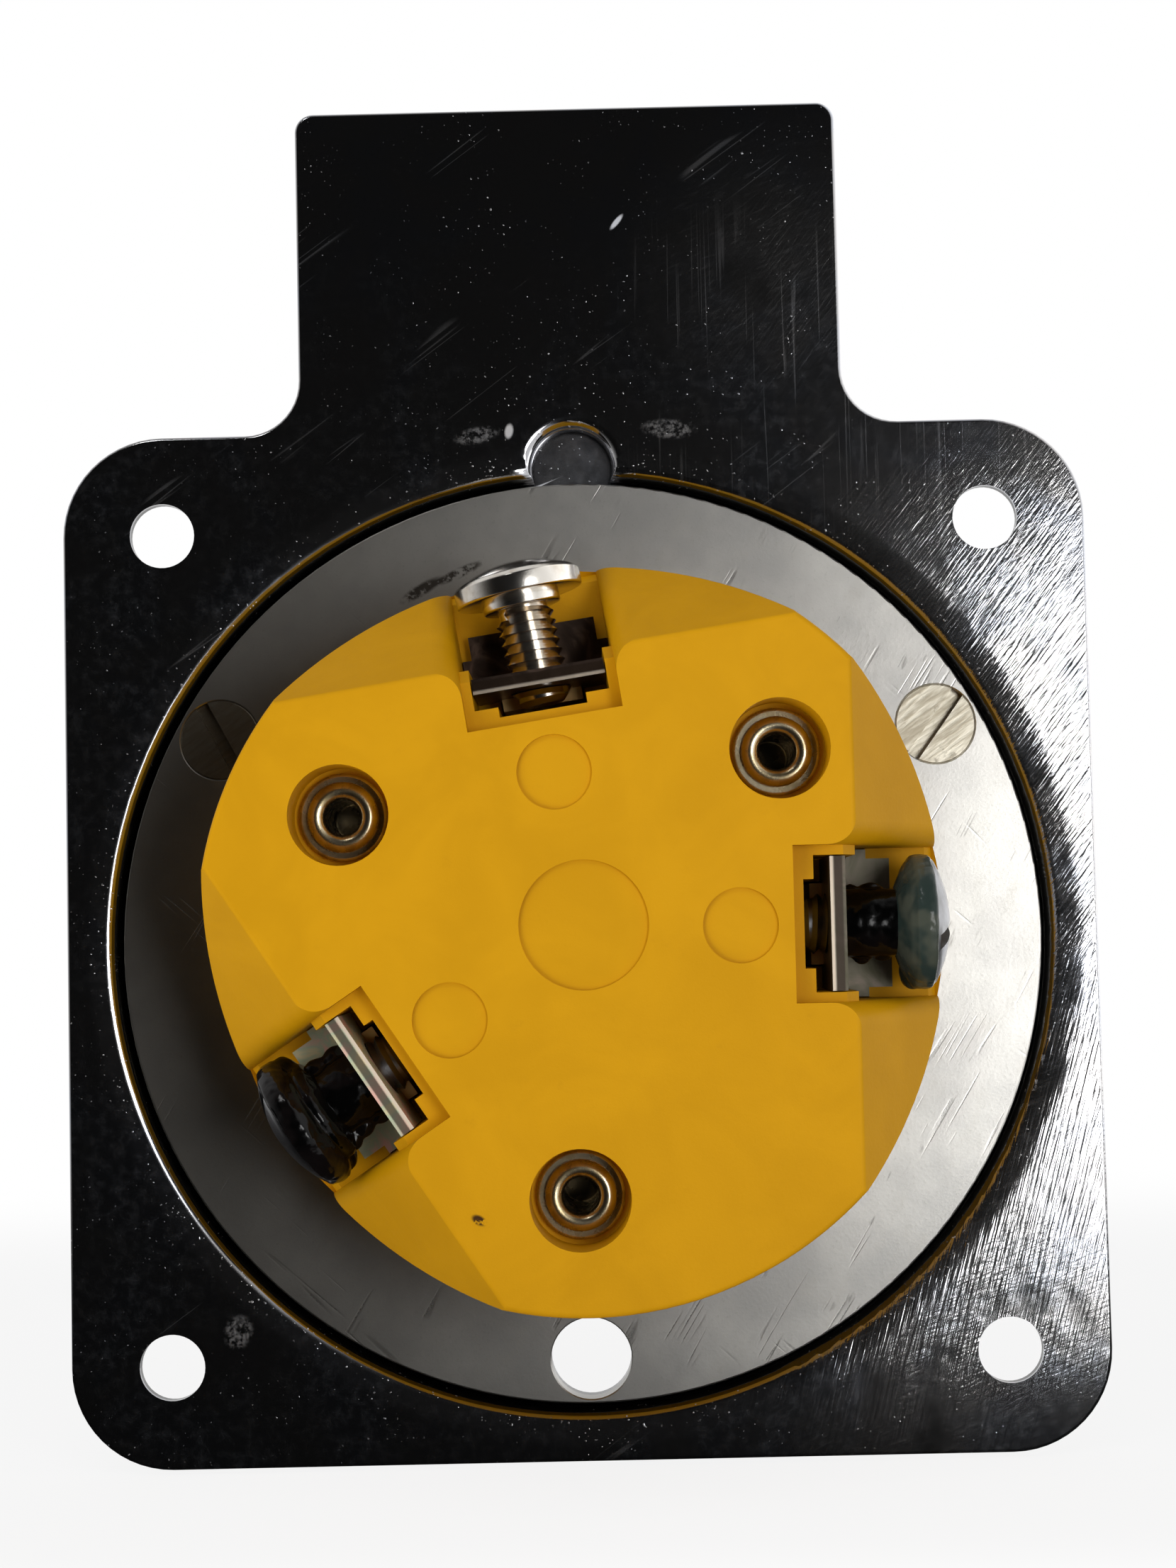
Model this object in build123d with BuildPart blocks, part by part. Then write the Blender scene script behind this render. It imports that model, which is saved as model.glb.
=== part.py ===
from build123d import *

import os
from math import cos, radians, sin, tan

# A 50 A locking shore-power receptacle for a panel, seen in use from its front.
# The origin is the centre of the four corner holes, on the plate's back face.
# +Z points up to the tab, the socket faces -Y and the wiring side is +Y.
# All sizes are in millimetres. A depth is a distance behind the plate's back face.

# Cover plate, one drawn sheet: a square with a rim of cup_margin round the cup
plate_thick = 1.2
plate_corner_r = 8.65
plate_edge_r = 0.3
corner_hole_inset = 8.65
corner_hole_d = 5.6
tab_width = 47.4
tab_height = 28.4
tab_corner_r = 1.6
tab_root_r = 4.8

# Shallow cup that is drawn forwards in the plate to take the ring
cup_margin = 4.45
cup_bend_r = 1.4
cup_floor_r = 0.35
dish_width = 2.9
dish_drop = 0.35
dish_blend_r = 9.0
dish_join = 1.1
key_pocket_r = 3.5
key_pocket_bend_r = 1.1
key_pocket_out = 1.0

# Mounting ring that carries the socket
ring_thick = 2.0
ring_recess = 0.3
ring_gap = 0.4
ring_inner_r = 25.0
ring_edge_r = 0.15
ring_screw_inset = 4.2
ring_screw_d = 6.9
ring_hole_chamfer = 0.1
ring_screw_angles = {"ring_screw_right": 30, "ring_screw_left": 150}
open_hole_angle = 270
ring_screw_head_d = 8.0
ring_screw_head_h = 1.4
ring_screw_slot_w = 1.1
ring_screw_slot_h = 1.0
ring_screw_slot_turn = {"ring_screw_right": 54, "ring_screw_left": 118}
window_margin = 1.15

# The socket sits a little off the ring's centre, to the right and up from behind
socket_right = 0.15
socket_up = 0.8

# Rear housing
housing_r = 29.5
housing_height = 25.0
housing_edge_r = 0.45
flat_distance = 21.1
flat_slope = 56
mark_depth = 0.3
centre_mark_d = 10.0
centre_mark_right = 0.2
centre_mark_up = 0.3
pole_mark_d = 5.8
pole_mark_distance = 12.2

# Terminal pockets, one for each pole, open outwards
terminal_angles = {"ground": 0, "neutral": 98.5, "hot": 213.5}
pocket_width = 12.1
pocket_inner = 16.3
pocket_floor_drop = 13.4
pocket_mouth_r = 1.75
ledge_drop = 2.0
ledge_inset = 0.75
ledge_corner_back = 1.7
ledge_back = 0.9
shaft_width = 6.9
ear_from_upright = 0.9
ear_length = 1.6
ear_clear = 0.1
ear_slot_drop = 3.0

# Terminal brackets, folded from plated strip
bracket_thick = 1.2
bracket_width = 10.4
bracket_bend_r = 0.5
pocket_to_upright = 3.0
bracket_reach = 4.5
upright_top_drop = 2.3

# Terminal screws, number 10 with a captive neck
screw_d = 4.8
screw_length = 8.8
screw_neck_d = 6.3
screw_neck_h = 0.9
screw_head_d = 10.2
screw_head_side = 1.5
screw_head_dome = 1.4
screw_slot_w = 1.2
screw_slot_h = 1.3
screw_tip_chamfer = 0.5
screw_drop = 7.6
screw_through = 1.9
neutral_backed_out = 0.7
screw_slot_turn = {"ground": 20, "neutral": 75, "hot": 50}

# Tubular rivets that hold the socket together, with a washer under each clinch
rivet_angles = {"right": 41, "left": 153.7, "bottom": 268.6}
rivet_inset = 4.4
rivet_d = 4.4
rivet_bore_d = 2.85
rivet_bore_depth = 9.0
rivet_lip_d = 5.5
rivet_lip_h = 0.9
rivet_head_d = 8.0
rivet_head_h = 1.5
rivet_sink = 0.4
rivet_head_clear = 0.3
rivet_head_edge_r = 0.6
counterbore_d = 7.8
counterbore_depth = 5.0
washer_d = 6.9
washer_thick = 0.7
washer_edge_r = 0.25

# Front body, with the three slots for the plug's curved blades
front_gap = 0.8
front_proud = 3.5
front_edge_r = 1.2
slot_circle_r = 13.3
slot_width = 2.5
slot_half_angle = 23
slot_lead = 0.6
hook_length = 4.2
hooked_pole = "ground"
spigot_gap = 0.15
gasket_seat = 6.2
gasket_thick = 0.8
gasket_gap = 0.2

# Contacts behind the slots
contact_thick = 1.0
contact_gap = 2.1
contact_lead = 0.4
contact_half_angle = 20
contact_depth = 7.2
contact_tail_width = 6.5
contact_tail_overlap = 3.4
chamber_clear = 0.8
chamber_half_angle = 26
strap_thick = 0.8
strap_width = 6.0
strap_clear = 0.2
strap_overlap = 3.0

# How far cuts run past what they cut
cut_past = 1.0

# Depths that follow from the sizes above
ring_back = -ring_recess
ring_front = ring_back - ring_thick
cup_front = ring_front - plate_thick
gasket_front = ring_front - gasket_thick
front_face_depth = cup_front - front_proud
housing_back = ring_back + housing_height + ring_recess
pocket_floor = housing_back - pocket_floor_drop
ledge_depth = housing_back - ledge_drop
screw_depth = housing_back - screw_drop
upright_top = housing_back - upright_top_drop
counterbore_floor = housing_back - counterbore_depth
washer_back = counterbore_floor + washer_thick
chamber_back = ring_back + contact_depth + contact_thick

# Radii and distances that follow, from the socket out to the plate's edge
window_r = ring_inner_r + gasket_seat
ring_screw_circle_r = window_r + window_margin + ring_screw_d / 2
cup_r = ring_screw_circle_r + ring_screw_inset
ring_outer_r = cup_r - ring_gap
key_pocket_up = cup_r + key_pocket_out
plate_side = 2 * (cup_r + cup_margin)
corner_hole_spacing = plate_side - 2 * corner_hole_inset
rivet_circle_r = ring_inner_r - rivet_inset
floor_r = window_r - 2 * socket_up
front_r = window_r - front_gap
spigot_r = ring_inner_r - spigot_gap
gasket_outer_r = window_r - gasket_gap
upright_inner = pocket_inner + pocket_to_upright
upright_outer = upright_inner + bracket_thick
ear_inner = upright_outer + ear_from_upright
screw_tip_radius = upright_inner - screw_through
screw_backed_out = {"ground": 0.0, "neutral": neutral_backed_out, "hot": 0.0}
bracket_end = upright_outer + bracket_reach
shaft_outer = upright_inner + bracket_thick / 2
contact_inner_r = slot_circle_r - contact_gap / 2 - contact_thick
contact_outer_r = slot_circle_r + contact_gap / 2 + contact_thick
tail_top = pocket_floor + contact_tail_overlap
all_ring_angles = list(ring_screw_angles.values()) + [open_hole_angle]

# The back view: x to the viewer's right from behind, y up, normal to the back
BACK = Plane(origin=(0, 0, 0), x_dir=(-1, 0, 0), z_dir=(0, 1, 0))

# Where the socket goes, once its pieces are made round the ring's axis
socket_place = Location((-socket_right, 0, socket_up))


def outward(angle):
    """The radial direction at an angle, counted from the right as seen from behind."""
    return Vector(-cos(radians(angle)), 0, sin(radians(angle)))


def spot(radius, angle):
    """A place on the back view at a radius and an angle."""
    return (radius * cos(radians(angle)), radius * sin(radians(angle)))


def section(angle, radius=0, depth=0):
    """A plane through the axis: x runs outwards at the angle, y runs to the back."""
    return Plane(
        origin=outward(angle) * radius + Vector(0, depth, 0),
        x_dir=outward(angle),
        z_dir=outward(angle).cross(Vector(0, 1, 0)),
    )


def level(angle, depth):
    """A plane at a depth that faces back: x runs outwards at the angle."""
    return Plane(origin=(0, depth, 0), x_dir=outward(angle), z_dir=(0, 1, 0))


def post_axis(radius, angle):
    """The axis of a post, parallel to Y, at a radius and an angle."""
    return Axis(outward(angle) * radius, (0, 1, 0))


def screw_axis(angle):
    """The axis of a terminal screw, which points outwards."""
    return Axis(Vector(0, screw_depth, 0), outward(angle))


def facing_out(angle, radius):
    """A plane across a terminal screw at a radius: it faces outwards, y to the back."""
    return Plane(
        origin=outward(angle) * radius + Vector(0, screw_depth, 0),
        x_dir=-section(angle).z_dir,
        z_dir=outward(angle),
    )


os.makedirs("parts", exist_ok=True)


# Cover plate
dish_r = cup_r + dish_width
join_r = dish_r + dish_join
tab_middle = (plate_side + tab_height) / 2
with BuildPart() as cover_plate:
    with BuildSketch(BACK.offset(-plate_thick)):
        Rectangle(plate_side, plate_side)
        with Locations((0, plate_side / 2)):
            Rectangle(tab_width, 2 * tab_height)
        sheet_corners = vertices()
        fillet(sheet_corners.filter_by(lambda v: abs(v.X) > plate_side / 2 - plate_edge_r), plate_corner_r)
        fillet(
            vertices().filter_by(
                lambda v: abs(abs(v.X) - tab_width / 2) < 0.01 and v.Y > tab_middle
            ),
            tab_corner_r,
        )
        fillet(
            vertices().filter_by(
                lambda v: abs(abs(v.X) - tab_width / 2) < 0.01 and v.Y < tab_middle
            ),
            tab_root_r,
        )
    extrude(amount=plate_thick)
    fillet(faces().sort_by(Axis.Y)[-1].edges() + faces().sort_by(Axis.Y)[0].edges(), plate_edge_r)
    with BuildSketch(BACK):
        with GridLocations(corner_hole_spacing, corner_hole_spacing, 2, 2):
            Circle(corner_hole_d / 2)
        Circle(join_r)
    extrude(amount=-plate_thick, mode=Mode.SUBTRACT)
    # The drawn boss round the key pocket at the top of the cup
    with BuildSketch(BACK.offset(cup_front)):
        with Locations((0, key_pocket_up)):
            Circle(key_pocket_r + plate_thick)
        Circle(cup_r + plate_thick / 2, mode=Mode.SUBTRACT)
    extrude(amount=-cup_front - plate_thick / 2)
    # The sheet's section: flat, soft dish, bend, wall, floor
    with BuildSketch(section(0)):
        with BuildLine():
            Polyline(
                (join_r, 0),
                (dish_r, 0),
                (cup_r, -dish_drop),
                (cup_r, ring_front),
                (floor_r, ring_front),
                (floor_r, cup_front),
                (cup_r + plate_thick, cup_front),
                (cup_r + plate_thick, -dish_drop - plate_thick),
                (dish_r, -plate_thick),
                (join_r, -plate_thick),
                close=True,
            )
        make_face()
        fillet(
            vertices().filter_by(lambda v: abs(v.X - cup_r) < 0.01 and v.Y > -dish_drop - 0.01),
            cup_bend_r,
        )
        fillet(
            vertices().filter_by(lambda v: abs(v.X - cup_r) < 0.01 and v.Y < ring_front + 0.01),
            cup_floor_r,
        )
        fillet(
            vertices().filter_by(
                lambda v: abs(v.X - cup_r - plate_thick) < 0.01 and v.Y < cup_front + 0.01
            ),
            cup_floor_r + plate_thick,
        )
        fillet(
            vertices().filter_by(lambda v: abs(v.X - dish_r) < 0.01),
            dish_blend_r,
        )
    revolve(axis=Axis.Y)
    # The key pocket itself, with its rounded mouth and floor
    pocket_plane = Plane(
        origin=(0, 0, key_pocket_up), x_dir=(-1, 0, 0), z_dir=(0, 0, -1)
    )
    with BuildSketch(pocket_plane):
        with BuildLine():
            Polyline(
                (0, key_pocket_bend_r),
                (key_pocket_r + key_pocket_bend_r, key_pocket_bend_r),
                (key_pocket_r + key_pocket_bend_r, 0),
            )
            RadiusArc(
                (key_pocket_r + key_pocket_bend_r, 0),
                (key_pocket_r, -key_pocket_bend_r),
                -key_pocket_bend_r,
            )
            Polyline(
                (key_pocket_r, -key_pocket_bend_r),
                (key_pocket_r, ring_front),
                (0, ring_front),
                (0, key_pocket_bend_r),
            )
        make_face()
    revolve(axis=Axis((0, 0, key_pocket_up), (0, 1, 0)), mode=Mode.SUBTRACT)
    # The window for the front body and three holes in line with the ring's
    with BuildSketch(BACK.offset(ring_front)):
        with Locations((socket_right, socket_up)):
            Circle(window_r)
        with Locations(*[spot(ring_screw_circle_r, angle) for angle in all_ring_angles]):
            Circle(ring_screw_d / 2)
    extrude(amount=-plate_thick, mode=Mode.SUBTRACT)
cover_plate.part.label = "cover_plate"
export_step(cover_plate.part, "parts/cover_plate.step")


# Mounting ring
with BuildPart() as mounting_ring:
    with BuildSketch(BACK.offset(ring_front)):
        Circle(ring_outer_r)
        with Locations((socket_right, socket_up)):
            Circle(ring_inner_r, mode=Mode.SUBTRACT)
    extrude(amount=ring_thick)
    fillet(
        edges().filter_by(GeomType.CIRCLE).filter_by(lambda e: e.radius > window_r),
        ring_edge_r,
    )
    with BuildSketch(BACK.offset(ring_back)):
        with Locations(*[spot(ring_screw_circle_r, angle) for angle in all_ring_angles]):
            Circle(ring_screw_d / 2)
    extrude(amount=-ring_thick, mode=Mode.SUBTRACT)
    chamfer(
        edges()
        .filter_by(GeomType.CIRCLE)
        .filter_by(lambda e: abs(e.radius - ring_screw_d / 2) < 0.01)
        .group_by(Axis.Y)[-1],
        ring_hole_chamfer,
    )
mounting_ring.part.label = "mounting_ring"
export_step(mounting_ring.part, "parts/mounting_ring.step")


# Slotted screws, threaded in the ring, with low heads on the front of the cup
head_dome_r = ((ring_screw_head_d / 2) ** 2 + ring_screw_head_h**2) / (2 * ring_screw_head_h)
for name, angle in ring_screw_angles.items():
    with BuildPart() as ring_screw:
        with BuildSketch(section(angle, ring_screw_circle_r)):
            with BuildLine():
                Polyline(
                    (0, cup_front - ring_screw_head_h),
                    (0, ring_back),
                    (ring_screw_d / 2 - ring_hole_chamfer, ring_back),
                    (ring_screw_d / 2, ring_back - ring_hole_chamfer),
                    (ring_screw_d / 2, cup_front),
                    (ring_screw_head_d / 2, cup_front),
                )
                RadiusArc(
                    (ring_screw_head_d / 2, cup_front),
                    (0, cup_front - ring_screw_head_h),
                    head_dome_r,
                )
            make_face()
        revolve(axis=post_axis(ring_screw_circle_r, angle))
        with BuildSketch(BACK.offset(ring_back)):
            with Locations(spot(ring_screw_circle_r, angle)):
                Rectangle(
                    ring_screw_d + cut_past,
                    ring_screw_slot_w,
                    rotation=ring_screw_slot_turn[name],
                )
        extrude(amount=-ring_screw_slot_h, mode=Mode.SUBTRACT)
    ring_screw.part.label = name
    export_step(ring_screw.part, f"parts/{name}.step")


# Gasket between the ring and the front body
with BuildPart() as body_gasket:
    with BuildSketch(BACK.offset(gasket_front)):
        Circle(gasket_outer_r)
        Circle(ring_inner_r, mode=Mode.SUBTRACT)
    extrude(amount=gasket_thick)
body_gasket.part.move(socket_place)
body_gasket.part.label = "body_gasket"
export_step(body_gasket.part, "parts/body_gasket.step")


# Rear housing: a moulded drum with three sloping flats and three wiring pockets
with BuildPart() as rear_housing:
    with BuildSketch(BACK.offset(ring_back)):
        Circle(housing_r)
    extrude(amount=housing_back - ring_back)
    outside = housing_r + cut_past
    for angle in terminal_angles.values():
        with BuildSketch(section(angle)):
            with BuildLine():
                Polyline(
                    (flat_distance, housing_back),
                    (outside, housing_back - (outside - flat_distance) * tan(radians(flat_slope))),
                    (outside, housing_back),
                    close=True,
                )
            make_face()
        extrude(amount=housing_r, both=True, mode=Mode.SUBTRACT)
    fillet(faces().sort_by(Axis.Y)[-1].edges(), housing_edge_r)
    for angle in terminal_angles.values():
        # The open pocket down to its floor, narrower beside the bracket's upright
        with BuildSketch(level(angle, pocket_floor)):
            with Locations((ear_inner, 0)):
                Rectangle(
                    outside - ear_inner,
                    pocket_width,
                    align=(Align.MIN, Align.CENTER),
                )
            with Locations((pocket_inner + ledge_corner_back, 0)):
                Rectangle(
                    outside - pocket_inner - ledge_corner_back,
                    pocket_width - 2 * ledge_inset,
                    align=(Align.MIN, Align.CENTER),
                )
        extrude(amount=housing_height, mode=Mode.SUBTRACT)
        # The rounded mouth, where the pocket's walls meet the sloping flat
        slope = radians(flat_slope)
        mouth = Plane(
            origin=outward(angle) * flat_distance + Vector(0, housing_back, 0),
            x_dir=-section(angle).z_dir,
            z_dir=outward(angle) * cos(slope) - Vector(0, sin(slope), 0),
        )
        with BuildSketch(mouth.offset(-2 * pocket_mouth_r)):
            Rectangle(pocket_width + 2 * pocket_mouth_r, 2 * pocket_mouth_r)
            with Locations(
                (pocket_width / 2 + pocket_mouth_r, -pocket_mouth_r),
                (-pocket_width / 2 - pocket_mouth_r, -pocket_mouth_r),
            ):
                Circle(pocket_mouth_r, mode=Mode.SUBTRACT)
        extrude(
            amount=2 * pocket_mouth_r + pocket_floor_drop / sin(slope),
            mode=Mode.SUBTRACT,
        )
        # The shallow ledge round its inner end
        with BuildSketch(level(angle, ledge_depth)):
            with Locations((pocket_inner, 0)):
                Rectangle(
                    ear_inner - pocket_inner,
                    pocket_width,
                    align=(Align.MIN, Align.CENTER),
                )
        extrude(amount=housing_height, mode=Mode.SUBTRACT)
        # The shaft for the contact's tail, right through to the contact's chamber
        with BuildSketch(level(angle, ring_back)):
            with Locations((pocket_inner + ledge_back, 0)):
                Rectangle(
                    shaft_outer - pocket_inner - ledge_back,
                    shaft_width,
                    align=(Align.MIN, Align.CENTER),
                )
        extrude(amount=ledge_depth - ring_back, mode=Mode.SUBTRACT)
        # Slots in the floor for the bracket's ears
        with BuildSketch(level(angle, pocket_floor)):
            with Locations((ear_inner, 0)):
                Rectangle(
                    ear_length + 2 * ear_clear,
                    pocket_width,
                    align=(Align.MIN, Align.CENTER),
                )
                Rectangle(
                    ear_length + 2 * ear_clear,
                    bracket_width,
                    align=(Align.MIN, Align.CENTER),
                    mode=Mode.SUBTRACT,
                )
        extrude(amount=-ear_slot_drop, mode=Mode.SUBTRACT)
        # The curved chamber for the contact, and the way from it to the shaft
        with BuildSketch(section(angle - chamber_half_angle)):
            with Locations((contact_inner_r - chamber_clear, ring_back)):
                Rectangle(
                    contact_outer_r - contact_inner_r + 2 * chamber_clear,
                    chamber_back - ring_back,
                    align=(Align.MIN, Align.MIN),
                )
        revolve(axis=Axis.Y, revolution_arc=2 * chamber_half_angle, mode=Mode.SUBTRACT)
        with BuildSketch(level(angle, ring_back)):
            with Locations((contact_outer_r, 0)):
                Rectangle(
                    shaft_outer - contact_outer_r,
                    shaft_width,
                    align=(Align.MIN, Align.CENTER),
                )
        extrude(amount=chamber_back - ring_back, mode=Mode.SUBTRACT)
        # The round recess for the pole's mark
        with BuildSketch(level(angle, housing_back)):
            with Locations((pole_mark_distance, 0)):
                Circle(pole_mark_d / 2)
        extrude(amount=-mark_depth, mode=Mode.SUBTRACT)
    # The groove for the ground strap
    with BuildSketch(level(terminal_angles["ground"], ring_back)):
        with Locations((contact_outer_r, 0)):
            Rectangle(
                ring_inner_r + strap_overlap + strap_clear - contact_outer_r,
                strap_width + 2 * strap_clear,
                align=(Align.MIN, Align.CENTER),
            )
    extrude(amount=strap_thick, mode=Mode.SUBTRACT)
    # The recess in the middle and the holes for the rivets
    with BuildSketch(BACK.offset(housing_back)):
        with Locations((centre_mark_right, centre_mark_up)):
            Circle(centre_mark_d / 2)
    extrude(amount=-mark_depth, mode=Mode.SUBTRACT)
    with Locations(BACK.offset(housing_back)):
        with Locations(*[spot(rivet_circle_r, angle) for angle in rivet_angles.values()]):
            CounterBoreHole(rivet_d / 2, counterbore_d / 2, counterbore_depth)
rear_housing.part.move(socket_place)
rear_housing.part.label = "rear_housing"
export_step(rear_housing.part, "parts/rear_housing.step")


# Front body, the face that the plug meets, with a curved slot for each blade
blade_path = CenterArc((0, 0), slot_circle_r, -slot_half_angle, 2 * slot_half_angle)
FRONT = Plane(origin=(0, front_face_depth, 0), x_dir=(1, 0, 0), z_dir=(0, -1, 0))
with BuildPart() as front_body:
    with BuildSketch(section(0)):
        with BuildLine():
            Polyline(
                (0, ring_back),
                (spigot_r, ring_back),
                (spigot_r, gasket_front),
                (front_r, gasket_front),
                (front_r, front_face_depth),
                (0, front_face_depth),
                close=True,
            )
        make_face()
        fillet(
            vertices().filter_by(
                lambda v: v.X > spigot_r + 0.01 and v.Y < front_face_depth + 0.01
            ),
            front_edge_r,
        )
    revolve(axis=Axis.Y)
    for pole, angle in terminal_angles.items():
        with BuildSketch(level(angle, front_face_depth)):
            SlotArc(blade_path, slot_width)
            if pole == hooked_pole:
                with Locations(spot(slot_circle_r, slot_half_angle)):
                    Rectangle(
                        hook_length,
                        slot_width,
                        rotation=slot_half_angle,
                        align=(Align.MAX, Align.CENTER),
                    )
        extrude(amount=ring_back - front_face_depth, mode=Mode.SUBTRACT)
    chamfer(
        faces()
        .sort_by(Axis.Y)[0]
        .inner_wires()
        .edges(),
        slot_lead,
    )
    with Locations(FRONT):
        with Locations(
            *[
                (-spot(rivet_circle_r, angle)[0], spot(rivet_circle_r, angle)[1])
                for angle in rivet_angles.values()
            ]
        ):
            CounterBoreHole(
                rivet_d / 2, rivet_head_d / 2 + rivet_head_clear, rivet_head_h + rivet_sink
            )
front_body.part.move(socket_place)
front_body.part.label = "front_body"
export_step(front_body.part, "parts/front_body.step")


# Contacts: a curved trough that grips the blade, with a tail up to the bracket
for pole, angle in terminal_angles.items():
    with BuildPart() as contact:
        with BuildSketch(section(angle - contact_half_angle)):
            with Locations((slot_circle_r, ring_back)):
                Rectangle(
                    contact_gap + 2 * contact_thick,
                    chamber_back - ring_back,
                    align=(Align.CENTER, Align.MIN),
                )
                Rectangle(
                    contact_gap,
                    contact_depth,
                    align=(Align.CENTER, Align.MIN),
                    mode=Mode.SUBTRACT,
                )
            chamfer(
                vertices().filter_by(
                    lambda v: v.Y < ring_back + 0.01
                    and abs(abs(v.X - slot_circle_r) - contact_gap / 2) < 0.01
                ),
                contact_lead,
            )
        revolve(axis=Axis.Y, revolution_arc=2 * contact_half_angle)
        with BuildSketch(section(angle)):
            with BuildLine():
                Polyline(
                    (contact_outer_r - contact_thick / 2, chamber_back - contact_thick),
                    (upright_inner, chamber_back - contact_thick),
                    (upright_inner, tail_top),
                    (upright_inner - contact_thick, tail_top),
                    (upright_inner - contact_thick, chamber_back),
                    (contact_outer_r - contact_thick / 2, chamber_back),
                    close=True,
                )
            make_face()
        extrude(amount=contact_tail_width / 2, both=True)
    contact.part.move(socket_place)
    contact.part.label = f"contact_{pole}"
    export_step(contact.part, f"parts/contact_{pole}.step")


# Strap that bonds the ground contact to the mounting ring
with BuildPart() as ground_strap:
    with BuildSketch(level(terminal_angles["ground"], ring_back)):
        with Locations((slot_circle_r, 0)):
            Rectangle(
                ring_inner_r + strap_overlap - slot_circle_r,
                strap_width,
                align=(Align.MIN, Align.CENTER),
            )
        Circle(contact_outer_r, mode=Mode.SUBTRACT)
    extrude(amount=strap_thick)
ground_strap.part.move(socket_place)
ground_strap.part.label = "ground_strap"
export_step(ground_strap.part, "parts/ground_strap.step")


# Terminal brackets: an upright with the tapped hole and a foot with two ears
for pole, angle in terminal_angles.items():
    with BuildPart() as bracket:
        with BuildSketch(section(angle)):
            with BuildLine():
                Polyline(
                    (upright_inner, pocket_floor),
                    (upright_inner, upright_top),
                    (upright_outer, upright_top),
                    (upright_outer, pocket_floor + bracket_thick),
                    (bracket_end, pocket_floor + bracket_thick),
                    (bracket_end, pocket_floor),
                    close=True,
                )
            make_face()
            fillet(
                vertices().filter_by(
                    lambda v: v.X < upright_inner + 0.01 and v.Y < pocket_floor + 0.01
                ),
                bracket_bend_r + bracket_thick,
            )
            fillet(
                vertices().filter_by(
                    lambda v: abs(v.X - upright_outer) < 0.01 and v.Y < upright_top - 0.01
                ),
                bracket_bend_r,
            )
        extrude(amount=bracket_width / 2, both=True)
        with BuildSketch(level(angle, pocket_floor)):
            with Locations((ear_inner + ear_clear, 0)):
                Rectangle(
                    ear_length,
                    pocket_width - 2 * ear_clear,
                    align=(Align.MIN, Align.CENTER),
                )
        extrude(amount=bracket_thick)
        with BuildSketch(facing_out(angle, upright_inner)):
            Circle(screw_d / 2)
        extrude(amount=bracket_thick, mode=Mode.SUBTRACT)
    bracket.part.move(socket_place)
    bracket.part.label = f"bracket_{pole}"
    export_step(bracket.part, f"parts/bracket_{pole}.step")


# Terminal screws: shank, captive neck and a slotted pan head
dome_r = ((screw_head_d / 2) ** 2 + screw_head_dome**2) / (2 * screw_head_dome)
for pole, angle in terminal_angles.items():
    tip = screw_tip_radius + screw_backed_out[pole]
    seat = tip + screw_length
    shoulder = seat + screw_head_side
    top = shoulder + screw_head_dome
    with BuildPart() as screw:
        with BuildSketch(section(angle, 0, screw_depth)):
            with BuildLine():
                Polyline(
                    (top, 0),
                    (tip, 0),
                    (tip, screw_d / 2 - screw_tip_chamfer),
                    (tip + screw_tip_chamfer, screw_d / 2),
                    (seat - screw_neck_h, screw_d / 2),
                    (seat - screw_neck_h, screw_neck_d / 2),
                    (seat, screw_neck_d / 2),
                    (seat, screw_head_d / 2),
                    (shoulder, screw_head_d / 2),
                )
                RadiusArc((shoulder, screw_head_d / 2), (top, 0), dome_r)
            make_face()
        revolve(axis=screw_axis(angle))
        with BuildSketch(facing_out(angle, top)):
            Rectangle(screw_head_d + cut_past, screw_slot_w, rotation=screw_slot_turn[pole])
        extrude(amount=-screw_slot_h, mode=Mode.SUBTRACT)
    screw.part.move(socket_place)
    screw.part.label = f"terminal_screw_{pole}"
    export_step(screw.part, f"parts/terminal_screw_{pole}.step")


# Tubular rivets, headed at the front and rolled over a washer at the back
rivet_head_front = front_face_depth + rivet_sink
rivet_head_back = rivet_head_front + rivet_head_h
for place, angle in rivet_angles.items():
    with BuildPart() as rivet:
        with BuildSketch(section(angle, rivet_circle_r)):
            with BuildLine():
                Polyline(
                    (rivet_bore_d / 2, washer_back),
                    (rivet_bore_d / 2, washer_back - rivet_bore_depth),
                    (0, washer_back - rivet_bore_depth),
                    (0, rivet_head_front),
                    (rivet_head_d / 2, rivet_head_front),
                    (rivet_head_d / 2, rivet_head_back),
                    (rivet_d / 2, rivet_head_back),
                    (rivet_d / 2, washer_back),
                    (rivet_lip_d / 2, washer_back),
                )
                ThreePointArc(
                    (rivet_lip_d / 2, washer_back),
                    ((rivet_lip_d + rivet_bore_d) / 4, washer_back + rivet_lip_h),
                    (rivet_bore_d / 2, washer_back),
                )
            make_face()
            fillet(
                vertices().filter_by(
                    lambda v: v.X > rivet_lip_d / 2 + 0.01 and v.Y < rivet_head_front + 0.01
                ),
                rivet_head_edge_r,
            )
        revolve(axis=post_axis(rivet_circle_r, angle))
    rivet.part.move(socket_place)
    rivet.part.label = f"rivet_{place}"
    export_step(rivet.part, f"parts/rivet_{place}.step")

    with BuildPart() as washer:
        with BuildSketch(BACK.offset(counterbore_floor)):
            with Locations(spot(rivet_circle_r, angle)):
                Circle(washer_d / 2)
                Circle(rivet_d / 2, mode=Mode.SUBTRACT)
        extrude(amount=washer_thick)
        fillet(
            edges().filter_by(GeomType.CIRCLE).group_by(Axis.Y)[-1].sort_by(SortBy.RADIUS)[-1],
            washer_edge_r,
        )
    washer.part.move(socket_place)
    washer.part.label = f"rivet_washer_{place}"
    export_step(washer.part, f"parts/rivet_washer_{place}.step")
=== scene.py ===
from math import cos, pi, radians, sin, tau

import bmesh
import bpy
from mathutils import Matrix, Quaternion, Vector, noise


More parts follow.
